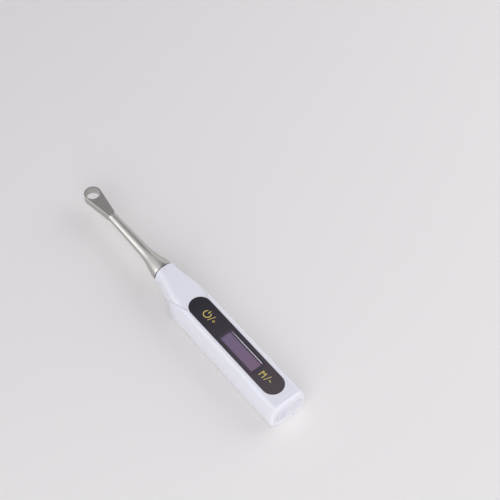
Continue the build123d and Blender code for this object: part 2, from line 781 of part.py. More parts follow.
# Inner frame: moulded cradle under the board for motor, battery and charging board
charge_board_top = port_z - port_height / 2
charge_board_bottom = charge_board_top - board_thickness
lip_start_x = housing_end_x - end_cap_lip_length
with BuildPart() as inner_frame:
    add(cavity_form(seat_clearance))
    frame_start_x = plate_end_x + seat_clearance
    frame_end_x = lip_start_x - seat_clearance
    add(slab(frame_start_x, frame_end_x, -handle_back_drop, board_bottom), mode=Mode.INTERSECT)
    can_room = motor_diameter / 2 + slip_clearance
    motor_room_end_x = motor_end_x + motor_room_gap
    cylinder_between(frame_start_x, motor_room_end_x, can_room, motor_axis_z, mode=Mode.SUBTRACT)
    slot_width = 2 * (can_room - cradle_lip)
    add(slab(frame_start_x, motor_room_end_x, motor_axis_z, board_top, slot_width), mode=Mode.SUBTRACT)
    with BuildSketch(across(frame_start_x)) as head_room:
        with Locations((-screw_side, screw_height), (screw_side, screw_height)):
            Circle(screw_head_diameter / 2 + seat_clearance)
    extrude(amount=screw_head_height + seat_clearance, mode=Mode.SUBTRACT)
    battery_room_start = battery_x - seat_clearance
    battery_room_end = battery_end_x + seat_clearance
    battery_room_width = battery_width + 2 * seat_clearance
    add(
        slab(battery_room_start, battery_room_end, battery_bottom, board_top, battery_room_width),
        mode=Mode.SUBTRACT,
    )
    board_room_start = charge_board_x - seat_clearance
    board_room_width = charge_board_width + 2 * loose_clearance
    add(
        slab(board_room_start, handle_end_x, charge_board_bottom, board_top, board_room_width),
        mode=Mode.SUBTRACT,
    )
finish(inner_frame, "inner_frame")

# Charging board and charging port
with BuildPart() as charge_board:
    add(slab(charge_board_x, port_end_x, charge_board_bottom, charge_board_top, charge_board_width))
finish(charge_board, "charge_board")

with BuildPart() as charge_port:
    with BuildSketch(across(port_x)):
        with Locations((0, port_z)):
            SlotOverall(port_width, port_height)
    extrude(amount=port_depth)
    with BuildSketch(across(port_x + port_floor)):
        with Locations((0, port_z)):
            SlotOverall(port_width - 2 * port_wall, port_height - 2 * port_wall)
    extrude(amount=port_depth, mode=Mode.SUBTRACT)
    tongue_bottom = port_z - port_tongue_thickness / 2
    tongue_top = port_z + port_tongue_thickness / 2
    tongue_start_x = port_x + port_floor / 2
    add(slab(tongue_start_x, port_end_x - port_floor, tongue_bottom, tongue_top, port_tongue_width))
finish(charge_port, "charge_port")

# End cap: closes the handle, with a lip inside and an opening for the charging port
with BuildPart() as end_cap:
    loft(sections=[body_outline(housing_end_x), body_outline(handle_end_x)])
    add(slab(housing_end_x, handle_end_x, width=2 * handle_end_width), mode=Mode.INTERSECT)
    fillet(end_cap.edges().group_by(Axis.X)[-1], end_cap_round)
    chamfer(end_cap.edges().group_by(Axis.X)[0], seam_chamfer)
    lip_stretch = slab(lip_start_x, housing_end_x)
    add(cavity_form(seat_clearance) & lip_stretch)
    add((cavity_form(seat_clearance + end_cap_lip_wall) & lip_stretch), mode=Mode.SUBTRACT)
    with BuildSketch(across(handle_end_x - cover_sink)) as cover_seat:
        with Locations((0, port_z)):
            SlotOverall(cover_width, cover_height)
    extrude(amount=2, mode=Mode.SUBTRACT)
    with BuildSketch(across(housing_end_x - seam_chamfer)) as port_opening:
        with Locations((0, port_z)):
            SlotOverall(port_width, port_height)
    extrude(amount=end_cap_thickness, mode=Mode.SUBTRACT)
finish(end_cap, "end_cap")

# Port cover: soft plug with an oval collar that grips inside the charging port
with BuildPart() as port_cover:
    cover_x = handle_end_x - cover_sink
    with BuildSketch(across(cover_x)):
        with Locations((0, port_z)):
            SlotOverall(cover_width - 2 * seat_clearance, cover_height - 2 * seat_clearance)
    extrude(amount=cover_thickness)
    fillet(port_cover.edges().group_by(Axis.X)[-1], cover_edge_round)
    with BuildSketch(across(cover_x + cover_thickness)) as grip_ribs:
        with Locations((-cover_width / 4, port_z)):
            with GridLocations(cover_rib_pitch, 0, cover_ribs, 1):
                Rectangle(cover_rib_width, 0.6 * cover_height)
    extrude(amount=cover_rib_rise)
    collar_start_x = port_end_x - cover_tongue_length
    collar_width = port_width - 2 * port_wall - 2 * seat_clearance
    collar_height = port_height - 2 * port_wall - 2 * seat_clearance
    with BuildSketch(across(collar_start_x)) as collar:
        with Locations((0, port_z)):
            SlotOverall(collar_width, collar_height)
            SlotOverall(
                collar_width - 2 * cover_collar_wall,
                collar_height - 2 * cover_collar_wall,
                mode=Mode.SUBTRACT,
            )
    extrude(amount=cover_x - collar_start_x)
finish(port_cover, "port_cover")
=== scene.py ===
# %% [markdown]
# # A cordless implant torque wrench
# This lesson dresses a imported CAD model: a white electronic handle, a dark key panel with a
# small display, and a slim steel head that ends in an open driver ring. The model comes in
# first and is never moved, so every piece made here goes where the CAD says.

# %% Load the frame
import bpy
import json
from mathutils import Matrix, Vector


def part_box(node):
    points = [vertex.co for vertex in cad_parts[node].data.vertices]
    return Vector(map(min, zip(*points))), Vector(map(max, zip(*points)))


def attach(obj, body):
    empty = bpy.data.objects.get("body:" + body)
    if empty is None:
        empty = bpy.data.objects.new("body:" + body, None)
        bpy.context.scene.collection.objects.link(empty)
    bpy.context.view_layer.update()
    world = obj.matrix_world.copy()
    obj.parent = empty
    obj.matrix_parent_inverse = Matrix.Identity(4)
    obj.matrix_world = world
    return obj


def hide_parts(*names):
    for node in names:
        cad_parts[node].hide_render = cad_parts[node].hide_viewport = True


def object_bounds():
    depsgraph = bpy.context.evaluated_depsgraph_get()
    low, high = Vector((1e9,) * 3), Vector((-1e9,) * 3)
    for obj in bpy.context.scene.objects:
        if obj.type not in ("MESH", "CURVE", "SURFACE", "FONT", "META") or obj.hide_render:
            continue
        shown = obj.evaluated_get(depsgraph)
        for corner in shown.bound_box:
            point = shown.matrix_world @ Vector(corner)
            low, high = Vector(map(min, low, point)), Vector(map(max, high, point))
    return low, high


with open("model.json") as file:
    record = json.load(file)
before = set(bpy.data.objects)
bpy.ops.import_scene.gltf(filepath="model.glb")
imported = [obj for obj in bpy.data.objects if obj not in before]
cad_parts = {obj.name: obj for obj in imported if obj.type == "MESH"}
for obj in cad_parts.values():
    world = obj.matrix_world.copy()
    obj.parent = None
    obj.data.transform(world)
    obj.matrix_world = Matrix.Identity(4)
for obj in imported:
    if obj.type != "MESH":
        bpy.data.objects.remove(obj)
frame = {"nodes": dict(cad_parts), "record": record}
cad_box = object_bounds()
print("CAD nodes:", len(frame["nodes"]))

# %% [markdown]
# Sizes are thought of in millimetres, because that is how such a tool is drawn, and Blender
# works in metres here, so every length is multiplied by MM once. The wrench lies along X with
# its driver bore at the origin, its end cap at the far X and the viewer on the side of low Y.

# %% Modules and units
import json
import math

import bpy
from mathutils import Vector

MM = 0.001
nodes = frame["nodes"]
scene = bpy.context.scene
display_low, display_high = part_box("display_module")
display_middle = (display_low[0] + display_high[0]) / 2 / MM
print("the display's middle lies", round(display_middle, 1), "mm from the driver bore")

# %% [markdown]
# Colours are picked as sRGB hex values, as a painter reads them off a chart. Blender's shaders
# count light in linear steps, so one function turns each hex value into what they expect. Its
# numbers are the sRGB standard's own: a short straight piece near black, and then a curve.


# %% Colour from a hex value
def linear_colour(hex_value):
    """An sRGB hex value as linear red, green, blue and a full alpha."""
    channels = [int(hex_value[i : i + 2], 16) / 255 for i in (1, 3, 5)]
    linear = [c / 12.92 if c <= 0.04045 else ((c + 0.055) / 1.055) ** 2.4 for c in channels]
    return (*linear, 1.0)


print("white plastic in linear light:", [round(c, 3) for c in linear_colour("#EFEFF6")])

# %% [markdown]
# A material is a small tree of nodes. Every finish on this tool starts from one Principled
# shader with its constant values set on its own sockets. One more function adds a node,
# sets it up and links it, whatever kind it is.


# %% Start a material, add a node
def new_material(name, colour, roughness, **sockets):
    """A material with one Principled shader; sockets name its other constant values.

    Where a pattern is linked in later, it takes the place of the colour or roughness given.
    """
    material = bpy.data.materials.new(name)
    material.use_nodes = True
    tree = material.node_tree
    surface = tree.nodes["Principled BSDF"]
    surface.inputs["Base Color"].default_value = linear_colour(colour)
    surface.inputs["Roughness"].default_value = roughness
    for socket, value in sockets.items():
        surface.inputs[socket.replace("_", " ")].default_value = value
    return material, tree, surface


def add_node(tree, kind, values=None, links=None, **settings):
    """One node of any kind: its settings, its socket values and what is linked into it."""
    node = tree.nodes.new(kind)
    for setting, value in settings.items():
        setattr(node, setting, value)
    for socket, value in (values or {}).items():
        node.inputs[socket].default_value = value
    for socket, source in (links or {}).items():
        tree.links.new(source, node.inputs[socket])
    return node


print("materials before any is made:", len(bpy.data.materials))

# %% [markdown]
# A noise texture's scale says how often it repeats in a metre, which is hard to picture. A
# pattern on a real tool has a width in millimetres, so the scale is worked out from that.


# %% Pattern size
def per_mm(spacing):
    """The noise scale that repeats about every so many millimetres."""
    return 1 / (spacing * MM)


print("a 2 mm pattern has scale", per_mm(2))

# %% [markdown]
# ## Moulded white plastic
# The handle is glossy injection-moulded ABS. Up close such a moulding is not a perfect mirror:
# its skin has a faint ripple a few millimetres wide, and handling leaves it a little duller in
# places. Painted maps could show both, but the handle would have to be unwrapped for them. Two
# slow noises on Object coordinates need no unwrapping and keep their true size: one moves the
# bump, the other the roughness.


# %% White plastic
def moulded_white_abs():
    """Glossy ABS with a slow ripple in its skin and duller places where hands hold it."""
    material, tree, surface = new_material(
        "moulded_white_abs", "#EFEFF6", 0.2, IOR=1.54, Coat_Weight=0.15, Coat_Roughness=0.08
    )
    place = add_node(tree, "ShaderNodeTexCoord").outputs["Object"]
    handling = add_node(
        tree, "ShaderNodeTexNoise", {"Scale": per_mm(14), "Detail": 3.0}, {"Vector": place}
    )
    dulled = add_node(
        tree,
        "ShaderNodeMapRange",
        {"From Min": 0.35, "From Max": 0.7, "To Min": 0.16, "To Max": 0.26},
        {"Value": handling.outputs["Fac"]},
    )
    ripple = add_node(
        tree, "ShaderNodeTexNoise", {"Scale": per_mm(3), "Detail": 1.0}, {"Vector": place}
    )
    skin = add_node(
        tree,
        "ShaderNodeBump",
        {"Strength": 0.12, "Distance": 0.02 * MM},
        {"Height": ripple.outputs["Fac"]},
    )
    tree.links.new(dulled.outputs["Result"], surface.inputs["Roughness"])
    tree.links.new(skin.outputs["Normal"], surface.inputs["Normal"])
    return material


white_abs = moulded_white_abs()
print(white_abs.name, "has", len(white_abs.node_tree.nodes), "nodes")

# %% [markdown]
# ## Key panel film
# A printed, hard-coated film covers the display and the keys. It is a dark violet grey, softly
# glossy rather than mirror bright. Its grain is finer than a picture of the whole tool can
# show, so it is drawn half a millimetre wide. Over it lies painted light: the film grows
# slowly lighter along the wrench towards the end cap, and the nose end stays in painted
# shade. One ramp on X does that, where an image gradient would need unwrapping again.

# %% Panel film
painted_light_start, painted_light_end = 80, 144
grain_share = 0.12


def printed_panel_film():
    """Dark printed film with a fine even grain, and painted light that lightens it towards the end
    cap.
    """
    material, tree, surface = new_material("printed_panel_film", "#3B3640", 0.2, IOR=1.5)
    place = add_node(tree, "ShaderNodeTexCoord").outputs["Object"]
    axes = add_node(tree, "ShaderNodeSeparateXYZ", {}, {"Vector": place})
    # Painted light: this ramp on X makes the film lighter towards the end cap and darker at the
    # nose.
    along = add_node(
        tree,
        "ShaderNodeMapRange",
        {"From Min": painted_light_start * MM, "From Max": painted_light_end * MM, "To Min": 0.0, "To Max": 1.0},
        {"Value": axes.outputs["X"]},
    )
    grain = add_node(
        tree, "ShaderNodeTexNoise", {"Scale": per_mm(0.5), "Detail": 2.0}, {"Vector": place}
    )
    grain_and_painted_light = add_node(
        tree,
        "ShaderNodeMath",
        {1: grain_share},
        {0: grain.outputs["Fac"], 2: along.outputs["Result"]},
        operation="MULTIPLY_ADD",
    )
    # The two colours are the film in painted shade at the nose end and in painted light at the end
    # cap.
    tint = add_node(
        tree,
        "ShaderNodeMix",
        {"A": linear_colour("#24212B"), "B": linear_colour("#51494F")},
        {"Factor": grain_and_painted_light.outputs["Value"]},
        data_type="RGBA",
    )
    matte = add_node(
        tree,
        "ShaderNodeBump",
        {"Strength": 0.15, "Distance": 0.01 * MM},
        {"Height": grain.outputs["Fac"]},
    )
    tree.links.new(tint.outputs["Result"], surface.inputs["Base Color"])
    tree.links.new(matte.outputs["Normal"], surface.inputs["Normal"])
    return material


panel_film = printed_panel_film()
print("tone climbs from", painted_light_start, "to", painted_light_end, "mm")

# %% [markdown]
# ## Display glass
# The display is off, so its cell shows as a dull violet field behind dark glass. The field is
# 22.4 by 5.6 mm, as on a common 0.91 inch cell, and fades softly into the dark print round it,
# because the cell lies a little below the glass. It sits 0.65 mm off the middle of the window,
# towards the near side, which leaves room for the cell's wiring along the far side. A real
# cell under real glass could be modelled, but half a millimetre deep it would look no
# different, so the field is drawn in the glass's colour, by the distance from its middle.

# %% Display glass
field_half_length = 11.2
field_half_width = 2.8
field_offset = 0.65
fade_half = 0.5
violet_half = 11


def dark_display_glass():
    """Dark glass with the cell's violet field in its colour, soft along its border."""
    material, tree, surface = new_material("dark_display_glass", "#7C6A84", 0.16, IOR=1.5)
    place = add_node(tree, "ShaderNodeTexCoord").outputs["Object"]
    axes = add_node(tree, "ShaderNodeSeparateXYZ", {}, {"Vector": place})
    from_middle = add_node(
        tree,
        "ShaderNodeMath",
        {1: display_middle * MM},
        {0: axes.outputs["X"]},
        operation="SUBTRACT",
    )
    across = add_node(
        tree, "ShaderNodeMath", {1: field_offset * MM}, {0: axes.outputs["Y"]}, operation="ADD"
    )
    fades = []
    for distance, half in (
        (from_middle.outputs["Value"], field_half_length),
        (across.outputs["Value"], field_half_width),
    ):
        away = add_node(tree, "ShaderNodeMath", {}, {0: distance}, operation="ABSOLUTE")
        fades.append(
            add_node(
                tree,
                "ShaderNodeMapRange",
                {
                    "From Min": (half - fade_half) * MM,
                    "From Max": (half + fade_half) * MM,
                    "To Min": 1.0,
                    "To Max": 0.0,
                },
                {"Value": away.outputs["Value"]},
                interpolation_type="SMOOTHSTEP",
            )
        )
    field = add_node(
        tree,
        "ShaderNodeMath",
        {},
        {0: fades[0].outputs["Result"], 1: fades[1].outputs["Result"]},
        operation="MULTIPLY",
    )
    along = add_node(
        tree,
        "ShaderNodeMapRange",
        {"From Min": -violet_half * MM, "From Max": violet_half * MM, "To Min": 0.0, "To Max": 1.0},
        {"Value": from_middle.outputs["Value"]},
    )
    violet = add_node(
        tree,
        "ShaderNodeMix",
        {"A": linear_colour("#786A88"), "B": linear_colour("#836A80")},
        {"Factor": along.outputs["Result"]},
        data_type="RGBA",
    )
    seen_colour = add_node(
        tree,
        "ShaderNodeMix",
        {"A": linear_colour("#443D48")},
        {"Factor": field.outputs["Value"], "B": violet.outputs["Result"]},
        data_type="RGBA",
    )
    tree.links.new(seen_colour.outputs["Result"], surface.inputs["Base Color"])
    return material


display_glass = dark_display_glass()
print("violet field:", 2 * field_half_length, "by", 2 * field_half_width, "mm")

# %% [markdown]
# ## Gold ink
# The signs on the keys are screen printed in a soft gold ink. Such ink dries dull and never
# covers quite evenly, which shows as two close yellows that change every few tenths of a
# millimetre. A metallic gold would flash in some views and go black in others, so this is a
# plain yellow with the dull skin of dried ink.


# %% Gold ink
def printed_gold_ink():
    """Dull printed ink that wanders between two close yellows."""
    material, tree, surface = new_material("printed_gold_ink", "#E3CE6A", 0.42, IOR=1.5)
    place = add_node(tree, "ShaderNodeTexCoord").outputs["Object"]
    cover = add_node(
        tree, "ShaderNodeTexNoise", {"Scale": per_mm(0.4), "Detail": 1.0}, {"Vector": place}
    )
    tint = add_node(
        tree,
        "ShaderNodeMix",
        {"A": linear_colour("#D6BC4C"), "B": linear_colour("#F0E28C")},
        {"Factor": cover.outputs["Fac"]},
        data_type="RGBA",
    )
    tree.links.new(tint.outputs["Result"], surface.inputs["Base Color"])
    return material


gold_ink = printed_gold_ink()
print(gold_ink.name, "has", len(gold_ink.node_tree.nodes), "nodes")

# %% [markdown]
# ## The cell's polished edge
# Along the far side of the display one edge of the cell is ground and polished, and catches
# the light as a thin white line, dimmer at the end that points to the nose. It could be left
# to the lamps, but a line this thin would come and go with every view, so the highlight is
# painted into its colour, and the dimming towards the nose is painted shade on one ramp along X.

# %% Cell edge
edge_half_length = 11
lit_from = display_middle - edge_half_length
lit_to = display_middle - 4


def cell_edge_painted_highlight():
    """A pale polished edge whose colour is a painted highlight, with painted shade at its end
    towards the nose.
    """
    material, tree, surface = new_material("cell_edge_painted_highlight", "#F4F2F6", 0.25, IOR=1.5)
    place = add_node(tree, "ShaderNodeTexCoord").outputs["Object"]
    axes = add_node(tree, "ShaderNodeSeparateXYZ", {}, {"Vector": place})
    # Painted shade towards the nose, painted highlight along the rest of the line.
    lit = add_node(
        tree,
        "ShaderNodeMapRange",
        {"From Min": lit_from * MM, "From Max": lit_to * MM, "To Min": 0.0, "To Max": 1.0},
        {"Value": axes.outputs["X"]},
    )
    tint = add_node(
        tree,
        "ShaderNodeMix",
        {"A": linear_colour("#A59DAB"), "B": linear_colour("#F8F6FA")},
        {"Factor": lit.outputs["Result"]},
        data_type="RGBA",
    )
    tree.links.new(tint.outputs["Result"], surface.inputs["Base Color"])
    return material


cell_edge_finish = cell_edge_painted_highlight()
print("the edge is fully lit from", round(lit_to, 1), "mm on")

# %% [markdown]
# ## Metals
# The head shell is turned from stainless steel and blasted satin, so it has no mirror
# reflections, only long soft ones. Its plug is polished and chromed instead, and shafts and
# bearings are plain ground steel. All metals differ only in colour and in the marks that their
# tools left, so one function makes them all. It draws out a noise along the wrench, and lets
# it change both roughness and bump. Real tool marks are hundredths of a millimetre apart, too
# fine for the render, so they are drawn some tenths apart.


# %% Metals
def metal(name, colour, roughness, spacing, stretch, depth):
    """A metal with tool marks; their spacing and depth are in millimetres."""
    material, tree, surface = new_material(name, colour, roughness, Metallic=1.0)
    place = add_node(tree, "ShaderNodeTexCoord").outputs["Object"]
    drawn = add_node(
        tree, "ShaderNodeMapping", {"Scale": (1 / stretch, 1.0, 1.0)}, {"Vector": place}
    )
    marks = add_node(
        tree,
        "ShaderNodeTexNoise",
        {"Scale": per_mm(spacing), "Detail": 4.0},
        {"Vector": drawn.outputs["Vector"]},
    )
    uneven = add_node(
        tree,
        "ShaderNodeMapRange",
        {"From Min": 0.3, "From Max": 0.7, "To Min": roughness * 0.8, "To Max": roughness * 1.25},
        {"Value": marks.outputs["Fac"]},
    )
    cut = add_node(
        tree,
        "ShaderNodeBump",
        {"Strength": 0.3, "Distance": depth * MM},
        {"Height": marks.outputs["Fac"]},
    )
    tree.links.new(uneven.outputs["Result"], surface.inputs["Roughness"])
    tree.links.new(cut.outputs["Normal"], surface.inputs["Normal"])
    return material


metals = {
    # Blasted stainless steel: a soft sheen drawn out along the arm, and no mirror image.
    "satin_steel": metal(
        "satin_stainless_steel", "#BDBAB7", roughness=0.32, spacing=0.25, stretch=12, depth=0.01
    ),
    # Polished chrome plate: almost a mirror, with only a trace of haze.
    "chrome_plate": metal(
        "polished_chrome_plate", "#D5D5D8", roughness=0.07, spacing=0.4, stretch=1, depth=0.002
    ),
    # Ground tool steel: a clean, dull shine with short marks along the shaft.
    "tool_steel": metal(
        "ground_tool_steel", "#A4A4A6", roughness=0.25, spacing=0.2, stretch=6, depth=0.005
    ),
    # Turned bronze: a brown gold with fine rings, so its marks are squeezed along X.
    "bush_bronze": metal(
        "turned_bronze", "#A9773C", roughness=0.3, spacing=0.2, stretch=0.2, depth=0.005
    ),
    # Hobbed brass: a warm yellow with the cutter's marks along each tooth.
    "gear_brass": metal(
        "hobbed_brass", "#C29A4A", roughness=0.3, spacing=0.2, stretch=2, depth=0.005
    ),
    # Milled aluminium: pale and even, with the cutter's path just visible.
    "plate_aluminium": metal(
        "milled_aluminium", "#C4C5C7", roughness=0.3, spacing=0.3, stretch=4, depth=0.005
    ),
    # A deep-drawn steel can: smooth and grey, with long faint lines from the die.
    "motor_can": metal(
        "drawn_steel_can", "#9B9DA0", roughness=0.28, spacing=0.3, stretch=10, depth=0.005
    ),
    # Rolled nickel strip: a yellowish grey with the lines of the rolls.
    "nickel_strip": metal(
        "rolled_nickel", "#B9B3A4", roughness=0.25, spacing=0.3, stretch=6, depth=0.003
    ),
}
print("metals:", len(metals))

# %% [markdown]
# ## Plain plastics and rubbers
# Inside the housing and round the plug there are plain mouldings and rubbers. They show little,
# but a flat colour would still look like none of them, so each gets the even fine grain of its
# mould, as a small bump. The spacing of the grain tells a smooth wrap from a coarse moulding.


# %% Plastics and rubbers
def plastic(name, colour, roughness, spacing):
    """A plain plastic or rubber with an even fine grain, its spacing in millimetres."""
    material, tree, surface = new_material(name, colour, roughness, IOR=1.5)
    place = add_node(tree, "ShaderNodeTexCoord").outputs["Object"]
    grain = add_node(
        tree, "ShaderNodeTexNoise", {"Scale": per_mm(spacing), "Detail": 2.0}, {"Vector": place}
    )
    rough = add_node(
        tree,
        "ShaderNodeBump",
        {"Strength": 0.3, "Distance": 0.02 * MM},
        {"Height": grain.outputs["Fac"]},
    )
    tree.links.new(rough.outputs["Normal"], surface.inputs["Normal"])
    return material


plastics = {
    # Moulded nitrile rubber: almost black, and dull.
    "seal_rubber": plastic("black_nitrile_rubber", "#1B1B1C", roughness=0.6, spacing=0.3),
    # Solder mask over laminate: a deep green lacquer with a soft gloss.
    "board_laminate": plastic("green_solder_mask", "#174D2C", roughness=0.4, spacing=0.5),
    # Moulded nylon of the switches: black, with a faint sheen.
    "switch_plastic": plastic("black_switch_nylon", "#202022", roughness=0.5, spacing=0.4),
    # Shrink wrap: a blue film, drawn tight and a little wavy.
    "battery_wrap": plastic("blue_shrink_wrap", "#2F4C86", roughness=0.35, spacing=1.0),
    # Glass-filled nylon: dark grey and matte, roughened by the fibres in it.
    "frame_nylon": plastic("grey_glass_filled_nylon", "#2B2C2F", roughness=0.55, spacing=0.5),
    # Moulded silicone rubber: pale and soft, with a skin that takes no highlight.
    "cover_silicone": plastic("pale_silicone_rubber", "#E4E2EA", roughness=0.5, spacing=0.6),
}
print("plastics and rubbers:", len(plastics))

# %% [markdown]
# ## One finish per part
# The CAD record names a material slot for every part. A look-up from slot to finish dresses all
# parts in one loop, where a list of parts would have to be kept up to date by hand.

# %% Dress the CAD parts
finishes = {
    **metals,
    **plastics,
    "white_plastic": white_abs,
    "panel_film": panel_film,
    "display_glass": display_glass,
    "cell_edge": cell_edge_finish,
    "gold_ink": gold_ink,
}
slots = {part["node"]: part["material_slot"] for part in frame["record"]["subparts"]}
for name, node in nodes.items():
    node.data.materials.clear()
    node.data.materials.append(finishes[slots[name]])
print("finishes:", len(finishes), "on", len(nodes), "parts")

# %% [markdown]
# ## New pieces
# Every new piece starts as a plain block or square at its place and is shaped in edit mode, as
# by hand. Two helpers do what a hand would do over and over: add a block, and pick edges by
# where they lie. The pieces' sizes are in millimetres. A block's place goes straight into its
# mesh, so that its object sits at the origin, as every CAD part does, and patterns on Object
# coordinates stay where they are.


# %% Add a block
def block(name, low, high, turn=0.0):
    """A block between two corners, turned about its own middle; its place goes into its mesh."""
    bpy.ops.object.select_all(action="DESELECT")
    bpy.ops.mesh.primitive_cube_add(
        size=MM,
        location=[(a + b) / 2 * MM for a, b in zip(low, high)],
        rotation=(0, 0, turn),
        scale=[b - a for a, b in zip(low, high)],
    )
    piece = bpy.context.object
    piece.name = name
    bpy.ops.object.transform_apply(location=True, rotation=True, scale=True)
    return piece


panel_low, panel_high = [[c / MM for c in corner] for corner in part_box("key_panel")]
print("panel:", [round(b - a, 2) for a, b in zip(panel_low, panel_high)], "mm")

# %% [markdown]
# By hand, edges are clicked. In code they are found by where their two ends lie: an upright
# edge has one end above the other, and the edge of a top face has both ends at the top.

# %% Pick edges
same_place = 0.001 * MM
clearly_apart = 0.01 * MM


def pick_edges(piece, wanted):
    """Leaves edit mode on with just the edges selected whose two ends pass the test."""
    bpy.ops.object.mode_set(mode="EDIT")
    bpy.ops.mesh.select_mode(type="EDGE")
    bpy.ops.mesh.select_all(action="DESELECT")
    bpy.ops.object.mode_set(mode="OBJECT")
    corners = piece.data.vertices
    for edge in piece.data.edges:
        edge.select = wanted(corners[edge.vertices[0]].co, corners[edge.vertices[1]].co)
    bpy.ops.object.mode_set(mode="EDIT")


def upright(a, b):
    """Whether an edge runs straight up from one end to the other."""
    return abs(a.z - b.z) > clearly_apart and abs(a.x - b.x) + abs(a.y - b.y) < same_place


print("ends count as one place within", same_place / MM, "mm")

# %% [markdown]
# Film, glass and cell edge are all thin plates with a rounded outline and a softened top edge.
# One bevel rounds the upright edges, and a second softens the top, because a plate whose top
# edge is knife sharp catches no light and looks cut out of paper. Corners that meet after the
# first bevel are merged, so that the plate stays closed.

# %% Round a plate
merge_distance = 0.02 * MM
smooth_angle = math.radians(20)


def round_plate(piece, corner, edge, segments):
    """Rounds a block's upright edges by one radius, then softens the edge of its top face."""
    pick_edges(piece, upright)
    bpy.ops.mesh.bevel(offset=corner * MM, segments=segments, affect="EDGES")
    bpy.ops.mesh.select_all(action="SELECT")
    bpy.ops.mesh.remove_doubles(threshold=merge_distance)
    bpy.ops.object.mode_set(mode="OBJECT")
    top = max(vertex.co.z for vertex in piece.data.vertices)
    pick_edges(piece, lambda a, b: min(a.z, b.z) > top - same_place)
    bpy.ops.mesh.bevel(offset=edge * MM, segments=2, affect="EDGES")
    bpy.ops.object.mode_set(mode="OBJECT")
    bpy.ops.object.shade_smooth_by_angle(angle=smooth_angle)


print("edges flatter than", round(math.degrees(smooth_angle)), "degrees are shaded smooth")

# %% [markdown]
# ## The film and its window
# The film is die-cut to a stadium, a shape with straight sides and half-round ends. Rounding
# the upright edges of a block by half its width gives just that, and a hair less keeps the two
# roundings of one end apart. The window over the display has an outline of its own. It could be
# cut by insetting the top face, but its corners are rounder than an inset leaves them, so it is
# cut out with a boolean, and the cutter is then deleted.

# %% Key panel film
half_width = (panel_high[1] - panel_low[1]) / 2
end_radius = half_width * 0.999
film = block("key_panel_film", panel_low, panel_high)
round_plate(film, corner=end_radius, edge=0.12, segments=24)
window_half = (13.0, 4.0)
window_corner = 0.6
cutter_reach = 1
window_low = (display_middle - window_half[0], -window_half[1], panel_low[2] - cutter_reach)
window_high = (display_middle + window_half[0], window_half[1], panel_high[2] + cutter_reach)
cutter = block("window_cutter", window_low, window_high)
pick_edges(cutter, upright)
bpy.ops.mesh.bevel(offset=window_corner * MM, segments=6, affect="EDGES")
bpy.ops.object.mode_set(mode="OBJECT")
bpy.context.view_layer.objects.active = film
opening = film.modifiers.new("window", "BOOLEAN")
opening.operation = "DIFFERENCE"
opening.object = cutter
bpy.ops.object.modifier_apply(modifier="window")
bpy.data.objects.remove(cutter)
film.data.materials.append(finishes["panel_film"])
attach(film, "handle")
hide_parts("key_panel")
print("film faces:", len(film.data.polygons))

# %% [markdown]
# The glass drops into the window with a hair of room all round and stops a trifle below the
# film, so that its outline shows as a fine step. One slim bright line lies along its far side,
# where the polished edge of the cell catches the light. Both are plates like the film.

# %% Display glass in its window
gap = 0.05
glass_depth = 0.02
glass = block(
    "display_glass",
    (window_low[0] + gap, window_low[1] + gap, panel_low[2]),
    (window_high[0] - gap, window_high[1] - gap, panel_high[2] - glass_depth),
)
round_plate(glass, corner=window_corner - gap, edge=0.06, segments=6)
glass.data.materials.append(finishes["display_glass"])
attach(glass, "handle")
print("glass top at", round(panel_high[2] - glass_depth, 2), "mm")

# %% The cell's edge beside the glass
edge_near, edge_far = 2.85, 3.17
edge_thickness = 0.2
cell_edge = block(
    "display_cell_edge",
    (display_middle - edge_half_length, edge_near, panel_high[2] - edge_thickness),
    (display_middle + edge_half_length, edge_far, panel_high[2]),
)
round_plate(cell_edge, corner=0.12, edge=0.05, segments=3)
cell_edge.data.materials.append(finishes["cell_edge"])
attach(cell_edge, "handle")
print("bright line:", round(edge_far - edge_near, 2), "mm wide")

# %% [markdown]
# ## The printed marks
# Two keys are marked on the film: on and plus at the front, mode and minus at the end. The
# marks could be drawn in the film's colour, but here the ink is thick enough to feel, so each
# stroke is a thin solid that starts just inside the film. A bar is a block with its ends
# rounded. Its rounding is a little under half its width, so that the corners of one end never
# meet.

# %% A bar of ink
ink_top = panel_high[2] + 0.03
ink_bottom = panel_high[2] - 0.05
end_rounding = 0.45
strokes = []


def bar(start, end, width):
    """One printed stroke between two points of the panel, with rounded ends."""
    length = math.dist(start, end) + width
    middle = [(a + b) / 2 for a, b in zip(start, end)]
    stroke = block(
        "stroke",
        (middle[0] - length / 2, middle[1] - width / 2, ink_bottom),
        (middle[0] + length / 2, middle[1] + width / 2, ink_top),
        math.atan2(end[1] - start[1], end[0] - start[0]),
    )
    pick_edges(stroke, upright)
    bpy.ops.mesh.bevel(offset=end_rounding * width * MM, segments=4, affect="EDGES")
    bpy.ops.object.mode_set(mode="OBJECT")
    strokes.append(stroke)


print("the ink stands", round(ink_top - panel_high[2], 2), "mm proud of the film")

# %% [markdown]
# The power sign is a ring that stays open at the far side of the panel. A torus could be cut
# open, but its section would be round. Here a small upright square, the section of the ink,
# stands at one side of the gap and is spun round the ring's middle to the other side. The
# operator turns clockwise about an axis that points up.


